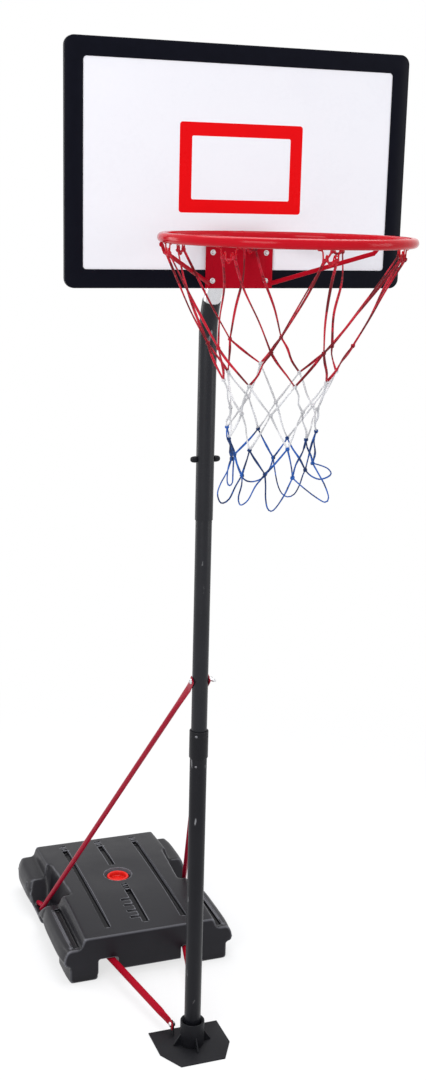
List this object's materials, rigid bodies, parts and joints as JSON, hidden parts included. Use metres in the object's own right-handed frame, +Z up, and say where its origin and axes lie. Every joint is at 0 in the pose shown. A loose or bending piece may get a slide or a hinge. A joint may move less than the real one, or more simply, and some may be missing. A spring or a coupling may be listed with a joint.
{
  "type": "basketball stand",
  "caption": "Free-standing basketball hoop: water-filled base tank, braced telescopic pole, framed board, tubular ring with wire hooks and a knotted cord net.",
  "frame": {"origin": "on the floor, on the pole's axis, at the underside of the foot plate", "axes": "+Z up along the pole; -Y is the playing side that the board faces; +X is to the right of someone who looks along +Y at the board's front"},
  "size_m": [0.71, 1.5415, 2.272],
  "materials": {
    "charcoal_paint": "satin powder coat",
    "black_steel": "satin powder coat",
    "black_plastic": "fine moulded grain",
    "tank_plastic": "blow-moulded polyethylene, low sheen",
    "crimson_paint": "satin powder coat",
    "ring_paint": "high gloss",
    "cap_plastic": "moulded, low sheen",
    "zinc": "bright zinc plate",
    "panel_plastic": "smooth white sheet",
    "cord_red": "braided cord",
    "cord_white": "braided cord",
    "cord_blue": "braided cord"
  },
  "bodies": {
    "base": {"brace_bolt": "zinc", "brace_wing_nut": "zinc", "coupling_screw": "zinc", "foot_bar_bolt_left": "zinc", "foot_bar_bolt_right": "zinc", "foot_bar_nut_left": "zinc", "foot_bar_nut_right": "zinc", "foot_collar": "black_plastic", "foot_plate": "black_steel", "lower_bar_left": "crimson_paint", "lower_bar_right": "crimson_paint", "lower_pole": "charcoal_paint", "mid_pole": "charcoal_paint", "pole_coupling": "black_plastic", "snap_button": "zinc", "tank_bar_screw_left": "zinc", "tank_bar_screw_right": "zinc", "tank_brace_left": "crimson_paint", "tank_brace_right": "crimson_paint", "water_tank": "tank_plastic"},
    "upper": {"board_frame": "black_plastic", "board_panel": "panel_plastic", "bracket_screw_left": "zinc", "bracket_screw_right": "zinc", "lower_bracket": "zinc", "neck_bolt_lower": "zinc", "neck_bolt_upper": "zinc", "neck_cap": "black_plastic", "neck_nut_lower": "zinc", "neck_nut_upper": "zinc", "net_blue": "cord_blue", "net_hook_1": "crimson_paint", "net_hook_2": "crimson_paint", "net_hook_3": "crimson_paint", "net_hook_4": "crimson_paint", "net_hook_5": "crimson_paint", "net_hook_6": "crimson_paint", "net_hook_7": "crimson_paint", "net_hook_8": "crimson_paint", "net_red": "cord_red", "net_white": "cord_white", "pole_neck": "zinc", "rim_bolt_1": "zinc", "rim_bolt_2": "zinc", "rim_bolt_3": "zinc", "rim_bolt_4": "zinc", "rim_nut_1": "zinc", "rim_nut_2": "zinc", "rim_nut_3": "zinc", "rim_nut_4": "zinc", "rim_plate": "crimson_paint", "rim_ring": "ring_paint", "ring_brace_left": "crimson_paint", "ring_brace_right": "crimson_paint", "upper_bracket": "zinc", "upper_pole": "charcoal_paint"},
    "knob_left": {"height_knob_left": "black_plastic"},
    "knob_right": {"height_knob_right": "black_plastic"},
    "cap": {"filler_cap": "cap_plastic"}
  },
  "joints": [
    {"name": "height_slide", "type": "slide", "parent": "base", "child": "upper", "axis": [0, 0, 1], "range_m": [-0.22, 0]},
    {"name": "knob_left_turn", "type": "hinge", "parent": "upper", "child": "knob_left", "pos_m": [0, 0, 1.435], "axis": [1, 0, 0], "continuous": true},
    {"name": "knob_right_turn", "type": "hinge", "parent": "upper", "child": "knob_right", "pos_m": [0, 0, 1.435], "axis": [1, 0, 0], "continuous": true},
    {"name": "cap_lift", "type": "slide", "parent": "base", "child": "cap", "axis": [0, 0, 1], "range_m": [0, 0.05]}
  ]
}
